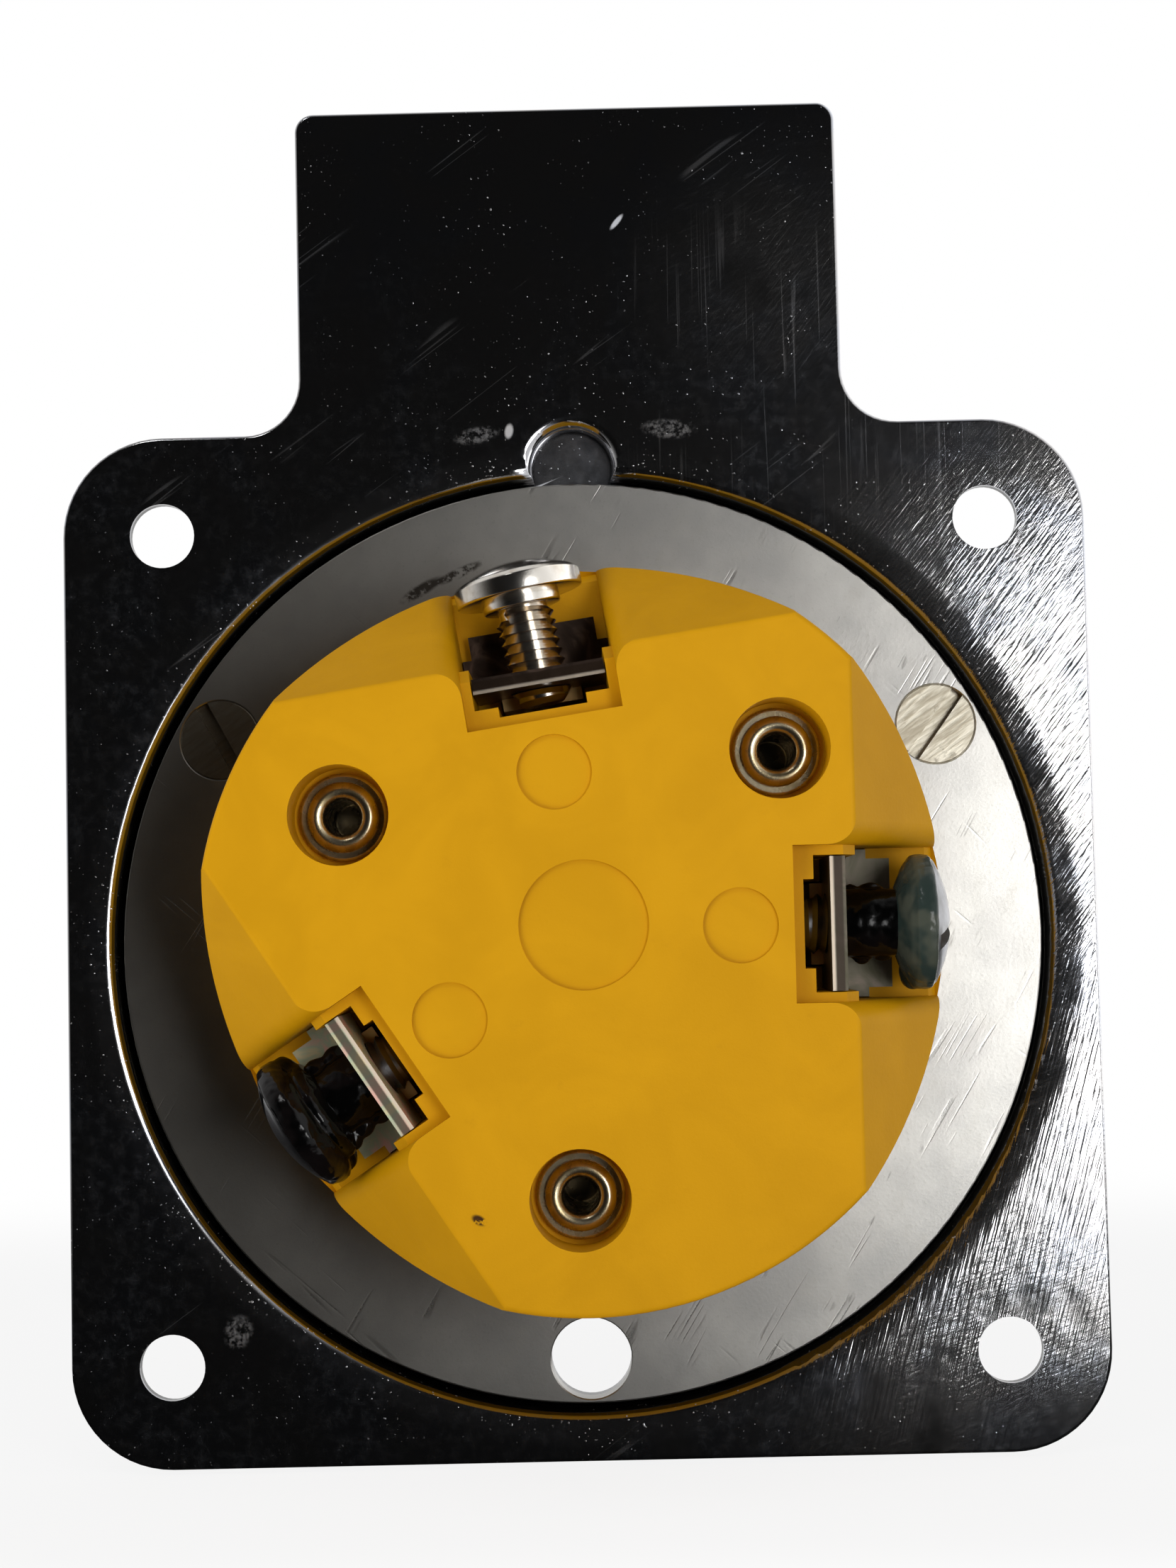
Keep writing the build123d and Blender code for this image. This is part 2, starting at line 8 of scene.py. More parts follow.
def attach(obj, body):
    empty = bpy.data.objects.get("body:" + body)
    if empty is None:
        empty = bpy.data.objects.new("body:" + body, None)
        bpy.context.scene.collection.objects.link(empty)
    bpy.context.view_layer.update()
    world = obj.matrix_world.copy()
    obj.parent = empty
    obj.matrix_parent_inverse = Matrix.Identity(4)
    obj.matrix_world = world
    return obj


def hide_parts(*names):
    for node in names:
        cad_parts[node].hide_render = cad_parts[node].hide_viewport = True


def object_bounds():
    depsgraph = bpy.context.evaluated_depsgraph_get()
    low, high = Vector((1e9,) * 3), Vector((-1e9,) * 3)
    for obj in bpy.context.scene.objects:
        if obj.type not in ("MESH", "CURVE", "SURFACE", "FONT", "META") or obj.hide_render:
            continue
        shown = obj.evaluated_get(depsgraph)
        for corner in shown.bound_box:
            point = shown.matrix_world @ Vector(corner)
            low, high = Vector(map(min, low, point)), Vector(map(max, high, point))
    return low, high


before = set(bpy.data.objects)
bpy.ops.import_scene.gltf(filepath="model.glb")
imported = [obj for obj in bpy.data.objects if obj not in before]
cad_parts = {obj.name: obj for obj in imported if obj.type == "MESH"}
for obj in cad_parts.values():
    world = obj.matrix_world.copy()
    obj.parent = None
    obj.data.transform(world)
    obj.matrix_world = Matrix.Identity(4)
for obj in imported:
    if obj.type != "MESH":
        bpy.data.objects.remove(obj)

# The wiring side of a panel socket: a polished plate with a tab, a grey ring in its
# cup, and a yellow moulded housing with three screw terminals in open pockets.
# Sizes are in millimetres and are turned into metres by MM. A depth is a distance
# behind the plate's back face. "right" and "up" are those of the back view.
MM = 0.001
cad_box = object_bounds()

# Sizes that the pieces here share with the solids
socket_right = 0.15
socket_up = 0.8
terminal_angles = {"ground": 0.0, "neutral": 98.5, "hot": 213.5}
screw_depth = 17.4
screw_tip = {"ground": 17.4, "neutral": 18.1, "hot": 17.4}
screw_length = 8.8
screw_neck_r = 3.15
screw_neck_h = 0.9
screw_head_r = 5.1
screw_head_side = 1.5
screw_head_dome = 1.4
screw_slot_w = 1.2
screw_slot_h = 1.3
screw_slot_turn = {"ground": 20, "neutral": 75, "hot": 50}
upright_inner = 19.3
upright_outer = 20.5
upright_top = 22.7
cup_r = 40.0
cup_depth = 2.3
key_pocket_up = 41.0
key_pocket_r = 3.5
key_pocket_bend_r = 1.1
rivet_circle_r = 20.6
rivet_angles = (41, 153.7, 268.6)
rivet_bore_r = 1.43

# Sizes that are only here: thread number 10-32, the screws' edges and the paint
thread_r = 2.4
thread_pitch = 0.79
thread_start = 0.7
thread_steps = 28
screw_steps = 72
screw_edge_r = 0.22
screw_tip_chamfer = 0.45
screw_lean = {"ground": 0.0, "neutral": 3.5, "hot": 0.0}
paint_voxel = 0.14
paint_steps = 48

# Light, in metres. All lamps stand at one distance. Mirrors see a room that is dark
# behind the camera, and pale beyond the plate and at the right.
lamp_distance = 0.5
dark_room = 0.004
lit_room = 0.75
room_fill = 0.38
side_glow = 0.9
white = (1, 1, 1, 1)
floor_gap = 0.4 * MM
floor_side = 0.3
floor_front = -0.3
floor_back = 0.06

# Camera, in millimetres and degrees
camera_place = (-1.85, 219.2, 0.42)
camera_target = (-0.80, 0, 13.34)
camera_roll = -1.294
camera_lens = 58.3


def at(right, up, depth):
    """A point of the back view, in millimetres, as a place in the scene."""
    return Vector((-right, depth, up)) * MM


def outward(angle):
    """The direction away from the socket's axis at an angle of the back view."""
    return Vector((-cos(radians(angle)), 0, sin(radians(angle))))


def terminal_frame(angle):
    """Turns a terminal's own x outwards, y across and z backwards into the scene."""
    out = outward(angle)
    back = Vector((0, 1, 0))
    across = back.cross(out)
    turn = Matrix((out, across, back)).transposed().to_4x4()
    return Matrix.Translation(at(socket_right, socket_up, 0)) @ turn


# Shader building

class Number:
    """A number in a node tree. Arithmetic on it adds Math nodes."""

    def __init__(self, shading, socket):
        self.shading = shading
        self.socket = socket

    def math(self, operation, *others):
        return self.shading.math(operation, self, *others)

    def __add__(self, other):
        return self.math("ADD", other)

    def __radd__(self, other):
        return self.math("ADD", other)

    def __sub__(self, other):
        return self.math("SUBTRACT", other)

    def __rsub__(self, other):
        return self.shading.math("SUBTRACT", other, self)

    def __mul__(self, other):
        return self.math("MULTIPLY", other)

    def __abs__(self):
        return self.math("ABSOLUTE")

    def limited(self):
        return self.math("MAXIMUM", 0.0).math("MINIMUM", 1.0)

    def ease(self, low, high, first, last):
        """Goes smoothly from one number at low to another at high."""
        return self.shading.ease(self, low, high, first, last)

    def above(self, low, high):
        """Goes smoothly from 0 at low to 1 at high."""
        return self.ease(low, high, 0.0, 1.0)

    def below(self, low, high):
        """Goes smoothly from 1 at low to 0 at high."""
        return self.ease(low, high, 1.0, 0.0)


class Shading:
    """A node tree and short ways to add its nodes."""

    def __init__(self, tree):
        self.tree = tree

    def add(self, kind, settings=None, inputs=None, output=0):
        """Adds a node, sets it up, joins its inputs and gives one of its outputs."""
        node = self.tree.nodes.new(kind)
        for name, value in (settings or {}).items():
            if name == "stops":
                fill_ramp(node.color_ramp.elements, value)
            else:
                setattr(node, name, value)
        for name, value in (inputs or {}).items():
            self.join(node.inputs[name], value)
        return Number(self, node.outputs[output])

    def join(self, socket, value):
        """Links a socket to what feeds it, or sets its own value."""
        if isinstance(value, Number):
            value = value.socket
        if isinstance(value, bpy.types.NodeSocket):
            self.tree.links.new(value, socket)
        else:
            socket.default_value = value

    def math(self, operation, *values):
        return self.add(
            "ShaderNodeMath", {"operation": operation}, dict(enumerate(values))
        )

    def ease(self, value, low, high, first, last):
        return self.add(
            "ShaderNodeMapRange",
            {"interpolation_type": "SMOOTHSTEP"},
            {
                "Value": value,
                "From Min": low,
                "From Max": high,
                "To Min": first,
                "To Max": last,
            },
        )

    def split(self, vector):
        """The three parts of a vector."""
        node = self.tree.nodes.new("ShaderNodeSeparateXYZ")
        self.join(node.inputs[0], vector)
        return [Number(self, output) for output in node.outputs]

    def between(self, share, first, second):
        """A number between two numbers."""
        return self.add("ShaderNodeMix", None, {"Factor": share, "A": first, "B": second})

    def ray(self, kind):
        """1 for rays of a kind, 0 for others."""
        return self.add("ShaderNodeLightPath", output=f"Is {kind} Ray")


class Finish(Shading):
    """A material with a Principled shader. Its places are in millimetres."""

    def __init__(self, name):
        self.material = bpy.data.materials.new(name)
        self.material.use_nodes = True
        super().__init__(self.material.node_tree)
        self.shader = self.tree.nodes["Principled BSDF"]
        coordinates = self.add("ShaderNodeTexCoord", output="Object")
        self.place = self.add(
            "ShaderNodeVectorMath",
            {"operation": "SCALE"},
            {"Vector": coordinates, "Scale": 1 / MM},
        )
        x, y, z = self.split(self.place)
        self.right = 0 - x
        self.up = z
        self.depth = y

    def moved(self, centre=(0, 0, 0), turn=0.0, scale=(1, 1, 1)):
        """The place in millimetres from a centre, turned about Y, then stretched."""
        shifted = self.add(
            "ShaderNodeVectorMath",
            {"operation": "SUBTRACT"},
            {0: self.place, 1: centre},
        )
        turned = self.add(
            "ShaderNodeVectorRotate",
            {"rotation_type": "Y_AXIS"},
            {"Vector": shifted, "Angle": radians(turn)},
        )
        return self.add(
            "ShaderNodeVectorMath",
            {"operation": "MULTIPLY"},
            {0: turned, 1: scale},
        )

    def noise(self, size, detail=2.0, roughness=0.5, where=None, distortion=0.0):
        """Noise with lumps of about this size in millimetres, from 0 to 1."""
        return self.add(
            "ShaderNodeTexNoise",
            {"noise_dimensions": "3D"},
            {
                "Vector": where or self.place,
                "Scale": 1 / size,
                "Detail": detail,
                "Roughness": roughness,
                "Distortion": distortion,
            },
        )

    def mix(self, share, first, second):
        """A colour between two colours."""
        return self.add(
            "ShaderNodeMix",
            {"data_type": "RGBA"},
            {"Factor": share, 6: colour(first), 7: colour(second)},
            2,
        )

    def ramp(self, value, stops):
        """A colour that a number picks from a row of (place, colour) stops."""
        return self.add("ShaderNodeValToRGB", {"stops": stops}, {0: value})

    def from_spot(self, right, up):
        """The distance from a spot of the back view, in millimetres."""
        across = self.right - right
        along = self.up - up
        return (across * across + along * along).math("SQRT")

    def patch(self, right, up, length, width, turn):
        """An oval soft spot: 1 in its middle, 0 past its rim."""
        scale = (1 / length, 0, 1 / width)
        x, _, z = self.split(self.moved((-right, 0, up), turn, scale))
        return (x * x + z * z).math("SQRT").below(0.25, 0.5)

    def scratches(self, length, width, turn, fineness=0.02, seed=0.0, gate=0.5):
        """Thin broken lines of about a length and a spacing, at an angle.

        A higher gate leaves fewer of them.
        """
        far = 1 / (5 * length)
        along = self.moved((seed, 0, seed), turn, (far, far, 1 / width))
        wave = self.noise(1.0, 1.0, 0.4, along)
        line = abs(wave - 0.5).below(0.0, fineness)
        short = 1 / length
        place = self.moved((seed + 7, 3, 1), turn, (short, short, 0.4 / width))
        return line * self.noise(1.0, 1.0, 0.5, place).above(gate, gate + 0.08)

    def strokes(self, length, width, turn, seed=0.0):
        """Short brush strokes at an angle, as a height from 0 to 1."""
        place = self.moved((seed, 0, seed), turn, (1 / length, 1 / length, 1 / width))
        return self.noise(1.0, 2.0, 0.6, place, 0.3)

    def bump(self, height, distance, normal=None):
        """A normal from a height of 0 to 1 that stands for a distance in millimetres."""
        inputs = {"Height": height, "Distance": distance * MM, "Strength": 1.0}
        if normal:
            inputs["Normal"] = normal
        return self.add("ShaderNodeBump", None, inputs)

    def finish(self, base, roughness, metallic=0.0, normal=None, **constants):
        """Feeds the shader. Inputs given by name are plain numbers."""
        self.join(self.shader.inputs["Base Color"], colour(base))
        self.join(self.shader.inputs["Roughness"], roughness)
        self.join(self.shader.inputs["Metallic"], metallic)
        if normal:
            self.join(self.shader.inputs["Normal"], normal)
        for name, value in constants.items():
            self.shader.inputs[name.replace("_", " ")].default_value = value
        return self.material


def colour(value):
    """A colour with its alpha, or the node output that it comes from."""
    if isinstance(value, tuple) and len(value) == 3:
        return (*value, 1.0)
    return value


def fill_ramp(points, stops):
    """Gives a colour ramp its (place, colour) stops."""
    while len(points) < len(stops):
        points.new(0.5)
    for point, (place, tint) in zip(points, stops):
        point.position = place
        point.color = colour(tint)


# Finishes

def polished_plate():
    """Polished sheet: mottled, brushed at its right, with scratches, pits and welds.

    Scratched metal scatters a little light, so worn places are a touch less metallic.
    The bend of the cup round the ring is painted dark: painted shade in the gap by the ring.
    """
    f = Finish("polished_plate")
    cloud = f.noise(11, 4, 0.62, distortion=0.4)
    mottle = f.noise(1.1, 4, 0.7)

    # Brushed grooves, deepest in three rubbed places at the right
    rubbed = f.from_spot(47, 6).below(0, 49) + f.from_spot(30, -34).below(2, 23) * 0.65
    rubbed = (rubbed + f.from_spot(19, 57).below(0, 17) * 0.3).limited()
    rubbed = rubbed * f.noise(5, 2, 0.5).above(0.15, 0.55)
    brushed = f.strokes(3.2, 0.24, -52) * f.up.above(-12, 4)
    brushed = brushed + f.strokes(5.0, 0.26, -74, 17.0) * f.up.below(-12, 8)
    weave = f.strokes(1.6, 0.3, -24, 33.0)

    # Long scratches: upright ones on the tab's right, slanting ones all over
    upright = f.scratches(14, 0.7, 90, 0.03, 3.0, 0.5) * f.right.above(0, 16)
    upright = upright * f.up.above(30, 46) * f.up.below(54, 66)
    slanting = f.scratches(11, 1.2, -36, 0.02, 21.0, 0.64)
    marks = (upright * 0.45 + slanting * 0.32).limited()

    # Pits, thickest by the key pocket, in the tab's corner and round the cup
    near_pocket = f.from_spot(0, 47).below(4, 12) + f.from_spot(22, 69).below(1, 7)
    near_joint = f.from_spot(0, 0).below(cup_r + 1.6, cup_r + 3.2) * 0.55
    pitted = f.noise(5, 2, 0.6).above(0.46, 0.62) + near_pocket + near_joint
    pits = f.noise(0.28, 1, 0.5).above(0.7, 0.76) * pitted.limited()

    # Two flecks, three weld marks, and a haze that ends on the tab
    fleck = f.patch(4.4, 62.6, 2.0, 0.55, -50)
    fleck = (fleck + f.patch(-5.4, 44.3, 0.9, 1.6, 10) * 0.8).limited()
    weld = f.patch(8.5, 44.2, 5.4, 2.0, 4) + f.patch(-8.2, 44.0, 4.6, 1.7, -10)
    weld = weld + f.patch(-30.1, -32.9, 2.8, 3.4, 20)
    weld = weld * f.noise(0.6, 3, 0.7).above(0.42, 0.62)
    haze = mottle.above(0.42, 0.8) * cloud.above(0.35, 0.7) * f.up.below(40, 66)

    # The key pocket's floor is duller than the sheet round it
    floor = f.from_spot(0, key_pocket_up).below(key_pocket_r - 0.3, key_pocket_r)
    floor = floor * f.depth.above(-cup_depth - 0.4, -cup_depth - 0.2)
    floor = floor * f.depth.below(-cup_depth + 0.1, -cup_depth + 0.5)
    spread = haze * 0.022 + rubbed * mottle * 0.05 + rubbed * weave.above(0.5, 0.8) * 0.1
    spread = spread + floor * mottle * 0.16 + marks * 0.12 + pits * 0.4
    spread = (spread + fleck + weld * 0.2).limited()
    base = f.mix(cloud.above(0.4, 0.7), (0.50, 0.49, 0.49), (0.45, 0.47, 0.52))
    # Painted shade: the cup's bend round the ring is darkened, for the shaded gap by the ring.
    joint_shade = f.depth.below(-0.42, -0.365) * (abs(f.right).above(3.4, 4.4) + f.up.below(-9, 0))
    base = f.mix(joint_shade.limited() * 0.85, base, (0.035, 0.033, 0.025))
    rough = 0.11 + haze * 0.05 + marks * 0.1 + rubbed * 0.05
    grooves = f.bump((brushed + weave * 0.5) * rubbed, 0.06)
    height = pits + mottle * 0.3 - marks * 0.5 - fleck
    return f.finish(base, rough, 1 - spread, f.bump(height, 0.005, grooves))


def plated_ring():
    """Dull plated steel, smudged, with ticks and stains, and painted shade that darkens its
    left side.
    """
    f = Finish("plated_ring")
    cloud = f.noise(13, 4, 0.62)
    smudge = f.noise(3.2, 3, 0.6, f.moved((5, 0, 2), 30, (1, 1, 0.5)))
    speck = f.noise(0.32, 3, 0.7)
    rubbed = f.scratches(6, 0.9, -58, 0.04, 11.0, 0.6)
    rubbed = (rubbed + f.scratches(8, 1.4, 42, 0.03, 71.0, 0.64)).limited()
    ticks = f.scratches(2.6, 0.6, -62, 0.06, 31.0, 0.66) * f.right.above(10, 28)
    stain = (f.patch(-10, 32, 5.5, 1.1, -24) + f.patch(-13.3, 30.6, 5, 1.3, -30)).limited()
    stain = stain * f.noise(0.8, 3, 0.7).above(0.38, 0.55)
    dark = (ticks * 0.5 + stain).limited()
    base = f.mix(cloud.above(0.35, 0.7), (0.44, 0.43, 0.41), (0.58, 0.565, 0.53))
    base = f.mix(smudge.above(0.5, 0.72) * 0.35, base, (0.46, 0.44, 0.40))
    base = f.mix(speck.above(0.55, 0.75) * 0.3, base, (0.30, 0.28, 0.25))
    # Painted shade: the ring's left side is darkened, away from the light at the right.
    base = f.mix(f.right.below(-34, 6) * 0.5, base, (0.17, 0.15, 0.12))
    base = f.mix(dark, base, (0.09, 0.08, 0.07))
    rough = 0.3 + speck * 0.06 - rubbed * 0.08 + smudge * 0.04
    spread = 0.004 + rubbed * 0.06
    return f.finish(base, rough, 1 - spread, f.bump(speck - rubbed, 0.006))


def yellow_nylon():
    """Moulded yellow nylon with a satin skin, a faint mottle and one dark speck."""
    f = Finish("yellow_nylon")
    flow = f.noise(9, 3, 0.6, distortion=0.6)
    skin = f.noise(0.35, 3, 0.6)
    grime = f.noise(2.2, 4, 0.7).above(0.6, 0.85)
    speck = f.patch(-8.1, -21.1, 1.5, 0.9, 30) * f.noise(0.35, 2, 0.6).above(0.35, 0.5)
    speck = speck * f.depth.above(24, 24.5)
    base = f.mix(flow.above(0.3, 0.72), (0.545, 0.262, 0.0015), (0.60, 0.292, 0.0025))
    base = f.mix(grime * 0.25, base, (0.42, 0.19, 0.004))
    base = f.mix(speck, base, (0.05, 0.02, 0.005))
    return f.finish(base, 0.46 + skin * 0.12, 0.0, f.bump(skin, 0.015), Specular_IOR_Level=0.1)


def black_rubber():
    """Matte black rubber."""
    f = Finish("black_rubber")
    skin = f.noise(0.4, 2, 0.6)
    base = f.mix(skin, (0.018, 0.018, 0.018), (0.035, 0.034, 0.033))
    return f.finish(base, 0.7 + skin * 0.1, 0.0, f.bump(skin, 0.01))


def formed_brass():
    """Strip brass with a rolled grain and slight tarnish."""
    f = Finish("formed_brass")
    grain = f.noise(0.3, 2, 0.6, f.moved((0, 0, 0), 0, (1, 0.1, 1)))
    cloud = f.noise(4, 3, 0.6)
    base = f.mix(cloud.above(0.3, 0.7), (0.60, 0.40, 0.16), (0.42, 0.27, 0.12))
    return f.finish(base, 0.28 + grain * 0.15, 1.0, f.bump(grain, 0.004))


def filed_screw():
    """Plated steel with coarse file marks and dirt, and painted shade that makes it much
    darker at the left.
    """
    f = Finish("filed_screw")
    filed = f.noise(0.5, 3, 0.6, f.moved((0, 0, 0), -35, (0.16, 1, 1)))
    dirt = f.noise(1.3, 3, 0.7).above(0.56, 0.75)
    base = f.mix(filed.above(0.35, 0.65), (0.62, 0.58, 0.48), (0.38, 0.34, 0.26))
    base = f.mix(dirt * 0.6, base, (0.12, 0.10, 0.07))
    # Painted shade: the screw at the left is darkened, away from the light at the right.
    base = f.mix(f.right.below(-30, 0) * 0.85, base, (0.09, 0.075, 0.055))
    return f.finish(base, 0.34 + filed * 0.12, 0.98, f.bump(filed, 0.02))


def bracket_plating(pole, first, second, third, rough, metallic=0.9):
    """Plated strip: a film of three tints, and a dark sheared edge with a pale rim."""
    f = Finish(f"{pole}_bracket")
    film = f.noise(3.0, 3, 0.55, distortion=1.2)
    grain = f.noise(0.25, 3, 0.7)
    base = f.ramp(film, [(0.32, first), (0.5, second), (0.66, third)])
    angle = radians(terminal_angles[pole])
    reach = (f.right - socket_right) * cos(angle) + (f.up - socket_up) * sin(angle)
    edge = f.depth.above(upright_top - 0.12, upright_top - 0.04)
    core = reach.above(upright_inner + 0.25, upright_inner + 0.4)
    core = core * reach.below(upright_outer - 0.3, upright_outer - 0.15)
    rim = reach.below(upright_inner + 0.15, upright_inner + 0.35)
    base = f.mix(edge * core * 0.85, base, (0.035, 0.022, 0.014))
    base = f.mix(edge * rim, base, (0.7, 0.6, 0.48))
    return f.finish(base, rough + grain * 0.15, metallic, f.bump(grain, 0.006))


def bright_nickel(name, first, second, rough):
    """Nickel plating, clouded by a second tint, with a fine grain."""
    f = Finish(name)
    cloud = f.noise(2.5, 3, 0.6)
    fine = f.noise(0.15, 2, 0.6)
    base = f.mix(cloud.above(0.4, 0.7), first, second)
    return f.finish(base, rough + cloud * 0.1, 1.0, f.bump(fine, 0.003))


def terminal_paint(name, thin, thick, rough):
    """Glossy paint, dabbed on by hand: thin and thick places."""
    f = Finish(name)
    cover = f.noise(2.6, 2, 0.5)
    skin = f.noise(0.8, 2, 0.5)
    base = f.mix(cover.above(0.42, 0.6), thin, thick)
    return f.finish(
        base, rough + skin * 0.05, 0.0, f.bump(skin, 0.03), Specular_IOR_Level=0.2
    )


def rivet_plating():
    """Yellowish nickel, clouded by a darker tint, with painted shade inside its bores."""
    f = Finish("rivet_plating")
    cloud = f.noise(1.6, 3, 0.6)
    fine = f.noise(0.2, 2, 0.6)
    base = f.mix(cloud.above(0.35, 0.7), (0.62, 0.53, 0.36), (0.36, 0.28, 0.15))
    for angle in rivet_angles:
        right = socket_right + rivet_circle_r * cos(radians(angle))
        up = socket_up + rivet_circle_r * sin(radians(angle))
        # Painted shade inside each rivet's bore.
        bore_shade = f.from_spot(right, up).below(rivet_bore_r - 0.1, rivet_bore_r + 0.02)
        base = f.mix(bore_shade * 0.9, base, (0.012, 0.01, 0.008))
    return f.finish(base, 0.2 + cloud * 0.14, 1.0, f.bump(fine, 0.006))


nylon = yellow_nylon()
brass = formed_brass()
ring_screw_metal = filed_screw()
rivet_metal = rivet_plating()
nickel = bright_nickel("bright_nickel", (0.78, 0.74, 0.68), (0.60, 0.54, 0.46), 0.13)
grey_nickel = bright_nickel("grey_nickel", (0.30, 0.30, 0.31), (0.22, 0.22, 0.22), 0.3)
finishes = {
    "cover_plate": polished_plate(),
    "mounting_ring": plated_ring(),
    "ring_screw_right": ring_screw_metal,
    "ring_screw_left": ring_screw_metal,
    "body_gasket": black_rubber(),
    "rear_housing": nylon,
    "front_body": nylon,
    "ground_strap": brass,
    "bracket_ground": bracket_plating(
        "ground", (0.07, 0.065, 0.035), (0.11, 0.10, 0.07), (0.16, 0.13, 0.10), 0.34, 0.6
    ),
    "bracket_neutral": bracket_plating(
        "neutral", (0.03, 0.02, 0.015), (0.06, 0.04, 0.03), (0.15, 0.10, 0.075), 0.26
    ),
    "bracket_hot": bracket_plating(
        "hot", (0.80, 0.64, 0.36), (0.46, 0.54, 0.38), (0.78, 0.46, 0.38), 0.3, 0.12
    ),
}
for pole in terminal_angles:
    finishes[f"contact_{pole}"] = brass
    finishes[f"terminal_screw_{pole}"] = nickel
for place in ("right", "left", "bottom"):
    finishes[f"rivet_{place}"] = rivet_metal
    finishes[f"rivet_washer_{place}"] = rivet_metal


def set_material(mesh, material):
    """Gives a mesh one material and no other."""
    mesh.materials.clear()
    mesh.materials.append(material)


for node, finish in finishes.items():
    set_material(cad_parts[node].data, finish)


# Meshes

def show(name, mesh, slot, *nodes):
    """Puts a mesh in the scene as a piece on the body, in place of any nodes named."""
    obj = bpy.data.objects.new(name, mesh)
    bpy.context.scene.collection.objects.link(obj)
    if nodes:
        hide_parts(*nodes)
    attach(obj, "root")


def turned(profile, steps):
    """A closed solid turned about z from (radius, height) points, both in millimetres."""
    shape = bmesh.new()
    rings = []
    for radius, height in profile:
        ring = []
        for step in range(steps if radius else 1):
            angle = tau * step / steps
            spot = (radius * MM * cos(angle), radius * MM * sin(angle), height * MM)
            ring.append(shape.verts.new(spot))
        rings.append(ring)
    for low, high in zip(rings, rings[1:]):
        for step in range(steps):
            after = (step + 1) % steps
            corners = [low[step % len(low)], low[after % len(low)]]
            corners += [high[after % len(high)], high[step % len(high)]]
            shape.faces.new(list(dict.fromkeys(corners)))
    bmesh.ops.recalc_face_normals(shape, faces=shape.faces)
    return shape


def arc(centre_r, centre_h, radius, first, last, steps):
    """Points of a profile along an arc, with angles in degrees from the radial."""
    points = []
    for step in range(steps + 1):
        angle = radians(first + (last - first) * step / steps)
        points.append((centre_r + radius * cos(angle), centre_h + radius * sin(angle)))
    return points


def smooth_below(mesh, angle=40):
    """Smooth shading, but for edges that are sharper than an angle."""
    for polygon in mesh.polygons:
        polygon.use_smooth = True
    mesh.set_sharp_from_angle(angle=radians(angle))


def mesh_of(shape, name):
    """A mesh of a bmesh, which is then freed."""
    mesh = bpy.data.meshes.new(name)
    shape.to_mesh(mesh)
    shape.free()
    return mesh


def solid(obj, name):
    """A plain mesh of an object with its modifiers; the object is removed."""
    depsgraph = bpy.context.evaluated_depsgraph_get()
    mesh = bpy.data.meshes.new_from_object(obj.evaluated_get(depsgraph))
    mesh.name = name
    bpy.data.objects.remove(obj)
    return mesh


def on_bench(mesh, name):
    """A scratch object of a mesh, for modifiers."""
    obj = bpy.data.objects.new(name, mesh)
    bpy.context.scene.collection.objects.link(obj)
    return obj


def hollowed(mesh, cutter_shape, name):
    """A mesh with a bmesh shape cut out of it."""
    cutter = on_bench(mesh_of(cutter_shape, "cutter"), "cutter")
    whole = on_bench(mesh, "whole")
    cut = whole.modifiers.new("cut", "BOOLEAN")
    cut.object = cutter
    cut.solver = "EXACT"
    result = solid(whole, name)
    bpy.data.objects.remove(cutter)
    return result


# The plate's key pocket, sunk beside the top of the cup

def pocketed_plate():
    """A merged copy of the plate's solid, with its key pocket sunk to the cup's floor.

    The cutter stops a hair above the cup's floor and its bend ends a hair above the
    sheet, so that no two faces lie in one plane.
    """
    floor_hair = 0.01
    mouth_hair = 0.002
    floor = floor_hair - cup_depth
    mouth_r = key_pocket_r + key_pocket_bend_r
    bend_centre = mouth_hair - key_pocket_bend_r
    profile = [(0, floor), (key_pocket_r, floor)]
    profile += arc(mouth_r, bend_centre, key_pocket_bend_r, 180, 90, 10)
    profile += [(mouth_r, 1), (0, 1)]
    sinker = turned(profile, 96)
    stand = Matrix.Translation(at(0, key_pocket_up, 0))
    stand = stand @ Matrix.Rotation(radians(-90), 4, "X")
    bmesh.ops.transform(sinker, matrix=stand, verts=sinker.verts)
    sheet = bmesh.new()
    sheet.from_mesh(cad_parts["cover_plate"].data)
    bmesh.ops.remove_doubles(sheet, verts=sheet.verts, dist=1e-7)
    mesh = hollowed(mesh_of(sheet, "merged_plate"), sinker, "pocketed_plate")
    set_material(mesh, finishes["cover_plate"])
    smooth_below(mesh, 28)
    plate = on_bench(mesh, "plate_on_bench")
    even = plate.modifiers.new("even", "WEIGHTED_NORMAL")
    even.keep_sharp = True
    return solid(plate, "pocketed_plate")


show("pocketed_plate", pocketed_plate(), "polished_steel", "cover_plate")


# The thread, a Geometry Nodes tree: a helix swept with a diamond section

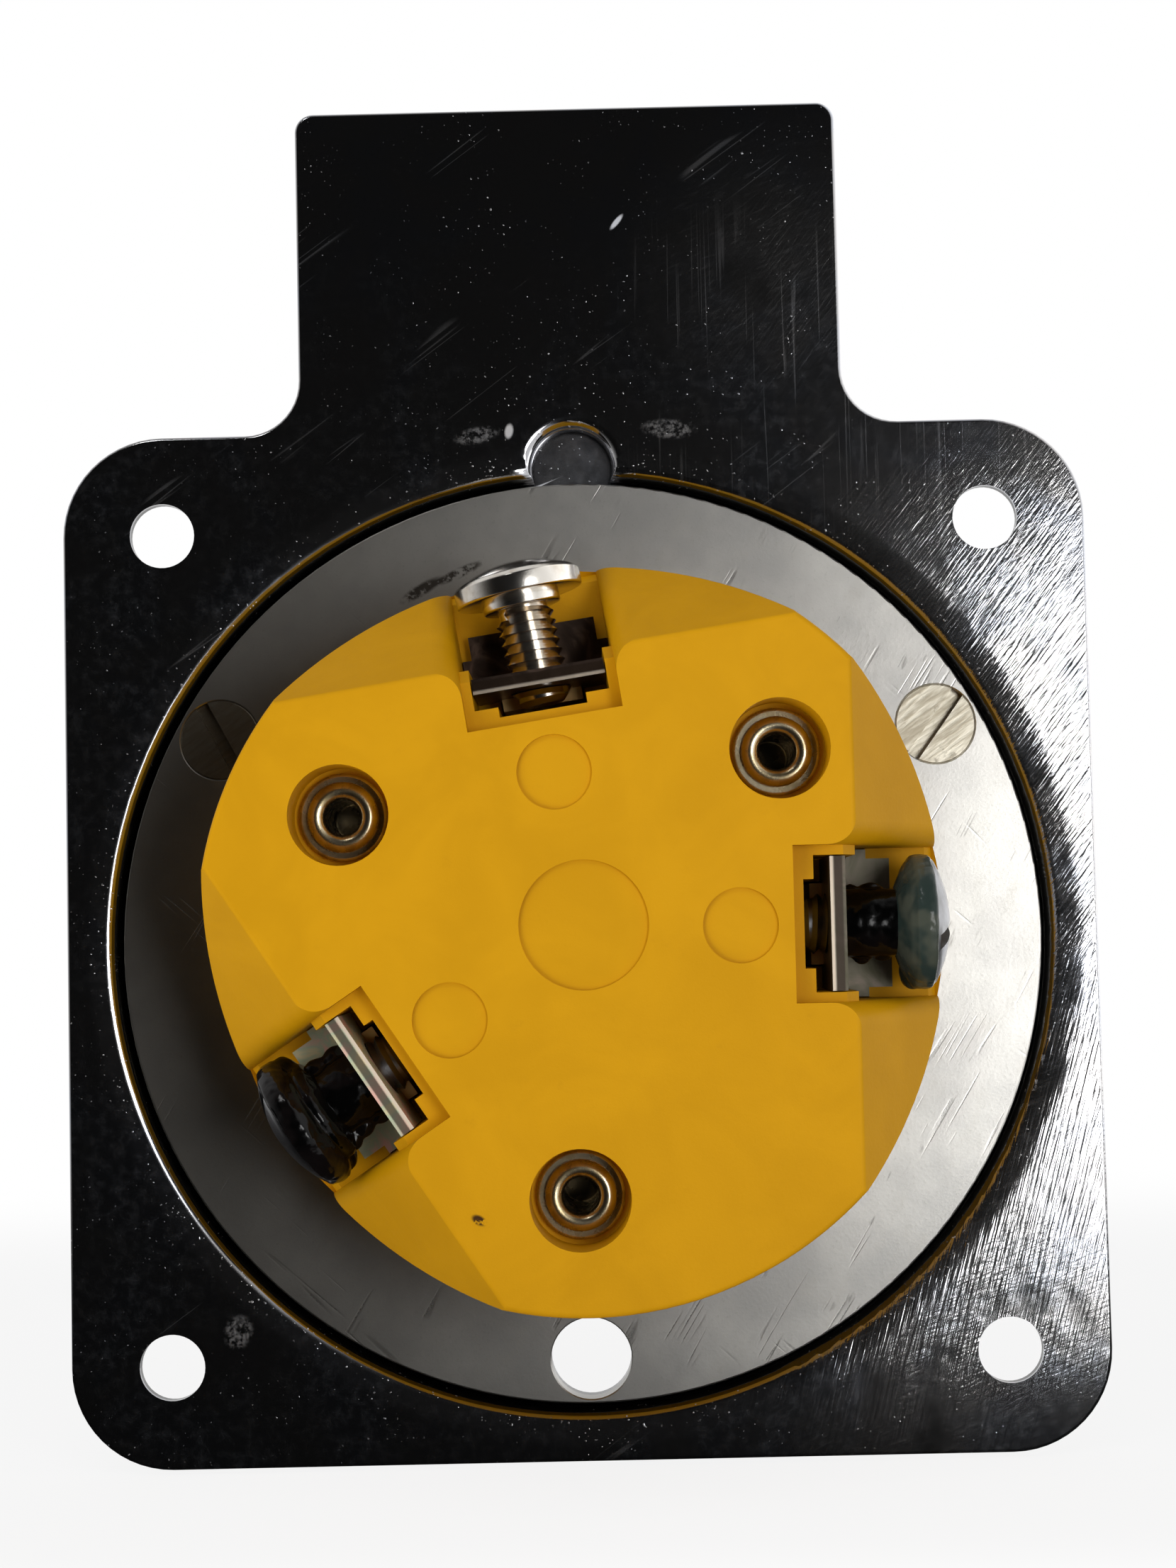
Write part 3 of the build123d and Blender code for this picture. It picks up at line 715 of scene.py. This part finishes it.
def thread_tree():
    """The tree, and its number and material inputs by name."""
    tree = bpy.data.node_groups.new("rolled_thread", "GeometryNodeTree")
    face = tree.interface
    face.new_socket("Geometry", in_out="INPUT", socket_type="NodeSocketGeometry")
    sizes = {}
    for name in ("Helix Radius", "Ridge Radius", "Turns", "Length", "Start"):
        sizes[name] = face.new_socket(name, in_out="INPUT", socket_type="NodeSocketFloat")
    sizes["Finish"] = face.new_socket(
        "Finish", in_out="INPUT", socket_type="NodeSocketMaterial"
    )
    face.new_socket("Geometry", in_out="OUTPUT", socket_type="NodeSocketGeometry")
    new = tree.nodes.new
    given = new("NodeGroupInput")
    helix = new("GeometryNodeCurveSpiral")
    helix.inputs["Resolution"].default_value = thread_steps
    lifted = new("GeometryNodeTransform")
    lift = new("ShaderNodeCombineXYZ")
    upright = new("GeometryNodeSetCurveNormal")
    upright.mode = "Z_UP"
    section = new("GeometryNodeCurvePrimitiveCircle")
    section.inputs["Resolution"].default_value = 4
    sweep = new("GeometryNodeCurveToMesh")
    sweep.inputs["Fill Caps"].default_value = True
    both = new("GeometryNodeJoinGeometry")
    real = new("GeometryNodeRealizeInstances")
    painted = new("GeometryNodeSetMaterial")
    result = new("NodeGroupOutput")
    for start, end in (
        (given.outputs["Turns"], helix.inputs["Rotations"]),
        (given.outputs["Helix Radius"], helix.inputs["Start Radius"]),
        (given.outputs["Helix Radius"], helix.inputs["End Radius"]),
        (given.outputs["Length"], helix.inputs["Height"]),
        (given.outputs["Start"], lift.inputs["Z"]),
        (lift.outputs[0], lifted.inputs["Translation"]),
        (helix.outputs[0], upright.inputs["Curve"]),
        (upright.outputs[0], lifted.inputs["Geometry"]),
        (given.outputs["Ridge Radius"], section.inputs["Radius"]),
        (lifted.outputs[0], sweep.inputs["Curve"]),
        (section.outputs[0], sweep.inputs["Profile Curve"]),
        (given.outputs["Geometry"], both.inputs[0]),
        (sweep.outputs[0], both.inputs[0]),
        (both.outputs[0], real.inputs[0]),
        (real.outputs[0], painted.inputs["Geometry"]),
        (given.outputs["Finish"], painted.inputs["Material"]),
        (painted.outputs[0], result.inputs[0]),
    ):
        tree.links.new(start, end)
    return tree, sizes


# Terminal screws

thread, thread_sizes = thread_tree()
seat = screw_length
shoulder = seat + screw_head_side
top = shoulder + screw_head_dome
core_r = thread_r - thread_pitch / 2
dome_r = (screw_head_r**2 + screw_head_dome**2) / (2 * screw_head_dome)


def terminal_screw(pole, metal):
    """A pan-head screw along z, its tip at 0: core, thread, captive neck and slot."""
    edge = screw_edge_r
    tip = screw_tip_chamfer
    profile = [(0, 0), (core_r - tip, 0), (core_r, tip), (core_r, seat - screw_neck_h)]
    profile += arc(screw_neck_r - edge, seat - screw_neck_h + edge, edge, -90, 0, 4)
    profile += [(screw_neck_r, seat)]
    profile += arc(screw_head_r - edge, seat + edge, edge, -90, 0, 4)
    profile += arc(screw_head_r - edge, shoulder - edge, edge, 0, 60, 4)
    for step in range(10, -1, -1):
        radius = (screw_head_r - edge) * step / 10
        profile.append((radius, top - dome_r + (dome_r**2 - radius**2) ** 0.5))
    body = mesh_of(turned(profile, screw_steps), f"screw_body_{pole}")
    blade = bmesh.new()
    bmesh.ops.create_cube(blade, size=1)
    size = Vector((screw_head_r * 2.4, screw_slot_w, screw_slot_h * 2)) * MM
    turn = Matrix.Rotation(radians(screw_slot_turn[pole]), 3, "Z")
    bmesh.ops.scale(blade, vec=size, verts=blade.verts)
    bmesh.ops.rotate(blade, matrix=turn, verts=blade.verts)
    bmesh.ops.translate(blade, vec=(0, 0, top * MM), verts=blade.verts)
    screw = on_bench(hollowed(body, blade, f"slotted_body_{pole}"), "screw_on_bench")
    winding = screw.modifiers.new("thread", "NODES")
    winding.node_group = thread
    ridge = thread_pitch * 0.5
    length = seat - screw_neck_h - thread_start - ridge
    values = {
        "Helix Radius": (thread_r - ridge) * MM,
        "Ridge Radius": ridge * MM,
        "Turns": length / thread_pitch,
        "Length": length * MM,
        "Start": thread_start * MM,
        "Finish": metal,
    }
    for name, value in values.items():
        winding[thread_sizes[name].identifier] = value
    mesh = solid(screw, f"terminal_screw_{pole}")
    set_material(mesh, metal)
    return mesh


def screw_place(pole):
    """Where a screw goes: its z along the terminal's x, leaning about the bracket."""
    hole = Vector((upright_outer, 0, screw_depth)) * MM
    tilt = Matrix.Translation(hole) @ Matrix.Rotation(radians(screw_lean[pole]), 4, "Z")
    tilt = tilt @ Matrix.Translation(-hole)
    stand = Matrix.Translation(Vector((screw_tip[pole], 0, screw_depth)) * MM)
    turn = Matrix.Rotation(radians(90), 4, "Y")
    return terminal_frame(terminal_angles[pole]) @ tilt @ stand @ turn


metals = {"ground": grey_nickel, "neutral": nickel, "hot": grey_nickel}
slots = {"ground": "painted_screw", "neutral": "terminal_screw", "hot": "painted_screw"}
for pole in terminal_angles:
    mesh = terminal_screw(pole, metals[pole])
    mesh.transform(screw_place(pole))
    smooth_below(mesh)
    show(f"threaded_screw_{pole}", mesh, slots[pole], f"terminal_screw_{pole}")


# Paint on the ground and hot screws

def paint_coat(name, pole, profile, dabs, ripple, paint):
    """Paint over a screw: a turned coat and dabs, run together into one skin.

    Each dab is an egg: its centre and its half lengths, in the screw's own frame.
    """
    shape = turned(profile, paint_steps)
    for centre, halves in dabs:
        place = Matrix.Translation(Vector(centre) * MM)
        size = Matrix.Diagonal(Vector(halves) * MM).to_4x4()
        bmesh.ops.create_uvsphere(
            shape, u_segments=24, v_segments=16, radius=1, matrix=place @ size
        )
    coat = on_bench(mesh_of(shape, name), "coat_on_bench")
    skin = coat.modifiers.new("skin", "REMESH")
    skin.mode = "VOXEL"
    skin.voxel_size = paint_voxel * MM
    soft = coat.modifiers.new("soft", "SMOOTH")
    soft.factor = 0.5
    soft.iterations = 4
    mesh = solid(coat, name)
    for vertex in mesh.vertices:
        spot = vertex.co / MM
        swell = noise.noise(spot * 0.55) * 0.6 + noise.noise(spot * 1.7) * 0.25
        vertex.co += vertex.normal * swell * ripple * MM
    mesh.transform(screw_place(pole))
    set_material(mesh, paint)
    smooth_below(mesh, 80)
    show(name, mesh, "painted_screw")


black_paint = terminal_paint(
    "black_terminal_paint", (0.004, 0.003, 0.003), (0.001, 0.001, 0.001), 0.12
)
green_paint = terminal_paint(
    "green_grey_paint", (0.055, 0.062, 0.048), (0.022, 0.034, 0.03), 0.16
)

# Over the shank, from the upright to the head, with a ragged edge
foot = upright_outer - screw_tip["hot"]
shank = [(0, foot - 0.2), (2.7, foot - 0.1), (2.75, 5.0), (2.7, 7.6), (0, 7.7)]
ground_dabs = [
    ((0.0, -2.4, 4.7), (0.5, 0.9, 0.8)),
    ((0.1, 2.5, 5.5), (0.5, 0.7, 1.1)),
    ((0.3, 2.6, 4.0), (0.4, 0.5, 0.6)),
    ((0.2, -2.5, 6.4), (0.5, 0.6, 0.8)),
]
paint_coat("ground_shank_paint", "ground", shank, ground_dabs, 0.14, black_paint)
hot_dabs = [
    ((0.0, -2.6, 4.4), (0.7, 1.1, 1.2)),
    ((0.0, -2.9, 6.3), (0.8, 0.9, 1.2)),
    ((0.1, 2.7, 4.0), (0.6, 1.0, 1.0)),
    ((0.2, 2.8, 5.7), (0.7, 1.0, 1.2)),
    ((0.2, 3.0, 7.0), (0.8, 1.2, 0.9)),
]
paint_coat("hot_shank_paint", "hot", shank, hot_dabs, 0.2, black_paint)

# Over the neck, the head's underside and its side
ground_head = [(0, 7.4), (2.6, 7.3), (3.6, 7.75), (4.6, 8.25), (5.25, 8.75)]
ground_head += [(5.38, 9.5), (5.3, 10.15), (4.9, 10.3), (0, 10.2)]
ground_runs = [
    ((2.2, -1.0, 8.1), (1.5, 1.6, 0.9)),
    ((1.6, -3.9, 8.9), (1.7, 1.5, 1.1)),
    ((3.4, 1.4, 8.3), (1.2, 1.6, 0.6)),
]
paint_coat("ground_head_paint", "ground", ground_head, ground_runs, 0.16, green_paint)
hot_head = [(0, 6.6), (3.0, 6.5), (4.0, 7.0), (4.3, 7.5), (4.25, 7.9), (4.9, 8.2)]
hot_head += [(5.5, 8.8), (5.6, 9.5), (5.35, 10.2), (4.9, 10.4), (0, 10.3)]
hot_runs = [
    ((2.0, 3.2, 8.6), (2.2, 2.1, 1.3)),
    ((0.5, -3.6, 8.4), (2.0, 1.8, 1.2)),
]
paint_coat("hot_head_paint", "hot", hot_head, hot_runs, 0.16, black_paint)


# Studio

def lamp(name, right, up, width, height, brightness, mirrored=True):
    """A soft rectangular lamp, placed by its angles from the back view's axis.

    Its sides are in metres. A lamp that isn't mirrored gives light unseen by mirrors.
    """
    swing = radians(right)
    lift = radians(up)
    direction = Vector((-sin(swing) * cos(lift), cos(swing) * cos(lift), sin(lift)))
    data = bpy.data.lights.new(name, "AREA")
    data.shape = "RECTANGLE"
    data.size = width
    data.size_y = height
    data.energy = brightness * pi * width * height
    obj = bpy.data.objects.new(name, data)
    obj.location = direction * lamp_distance
    obj.rotation_euler = direction.to_track_quat("Z", "Y").to_euler()
    obj.visible_glossy = mirrored
    bpy.context.scene.collection.objects.link(obj)


lamp("window_right", 24.0, -0.4, 0.13, 0.2, 9.0)
lamp("window_edge", 15.6, -0.4, 0.026, 0.155, 1.25)
lamp("glint", -24, 44, 0.06, 0.05, 10.0)
lamp("side_right", 82, -6, 0.14, 0.3, 1.6)
lamp("fill_low_left", -50, -20, 0.42, 0.42, 3.0, False)
lamp("fill_top", -6, 52, 0.4, 0.3, 1.05, False)

floor_level = cad_box[0][2] - floor_gap
mesh = bpy.data.meshes.new("floor")
mesh.from_pydata(
    [
        (-floor_side, floor_front, floor_level),
        (floor_side, floor_front, floor_level),
        (floor_side, floor_back, floor_level),
        (-floor_side, floor_back, floor_level),
    ],
    [],
    [(0, 1, 2, 3)],
)
floor = bpy.data.objects.new("floor", mesh)
bpy.context.scene.collection.objects.link(floor)


def pale_floor():
    """White to the camera, but for a soft shadow by the object. Mirrors see the room."""
    f = Finish("pale_floor")
    away = abs(f.right).above(90, 280) + f.depth.above(20, 58) + f.depth.below(-280, -90)
    whiteness = f.ray("Camera") * away.ease(0, 1, 0.86, 1.0)
    glow = f.add("ShaderNodeEmission", None, {"Color": white, "Strength": 1.0})
    room_light = f.depth.ease(-5, -80, dark_room, lit_room)
    room = f.add("ShaderNodeEmission", None, {"Color": white, "Strength": room_light})
    f.finish((0.85, 0.85, 0.85), 0.9)
    plain = Number(f, f.shader.outputs[0])
    seen = f.add("ShaderNodeMixShader", None, {0: whiteness, 1: plain, 2: glow})
    both = f.add("ShaderNodeMixShader", None, {0: f.ray("Glossy"), 1: seen, 2: room})
    f.join(f.tree.nodes["Material Output"].inputs["Surface"], both)
    return f.material


mesh.materials.append(pale_floor())

world = bpy.data.worlds.new("studio")
bpy.context.scene.world = world
world.use_nodes = True
room = Shading(world.node_tree)
x, y, _ = room.split(room.add("ShaderNodeTexCoord", output="Generated"))
glow = y.ease(0.75, -0.3, dark_room, lit_room) + x.ease(-0.16, -0.6, 0.0, side_glow)
glow = room.between(room.ray("Glossy"), room_fill, glow)
background = world.node_tree.nodes["Background"]
room.join(background.inputs["Color"], white)
room.join(background.inputs["Strength"], room.between(room.ray("Camera"), glow, 1.0))

# Camera
data = bpy.data.cameras.new("camera")
data.sensor_fit = "VERTICAL"
data.sensor_height = 36
data.lens = camera_lens
data.clip_start = 0.01
camera = bpy.data.objects.new("camera", data)
camera.location = Vector(camera_place) * MM
view = Vector(camera_target) * MM - camera.location
roll = Quaternion((0, 0, 1), radians(camera_roll))
camera.rotation_euler = (view.to_track_quat("-Z", "Y") @ roll).to_euler()
bpy.context.scene.collection.objects.link(camera)
bpy.context.scene.camera = camera

bpy.context.scene.view_settings.view_transform = "Standard"
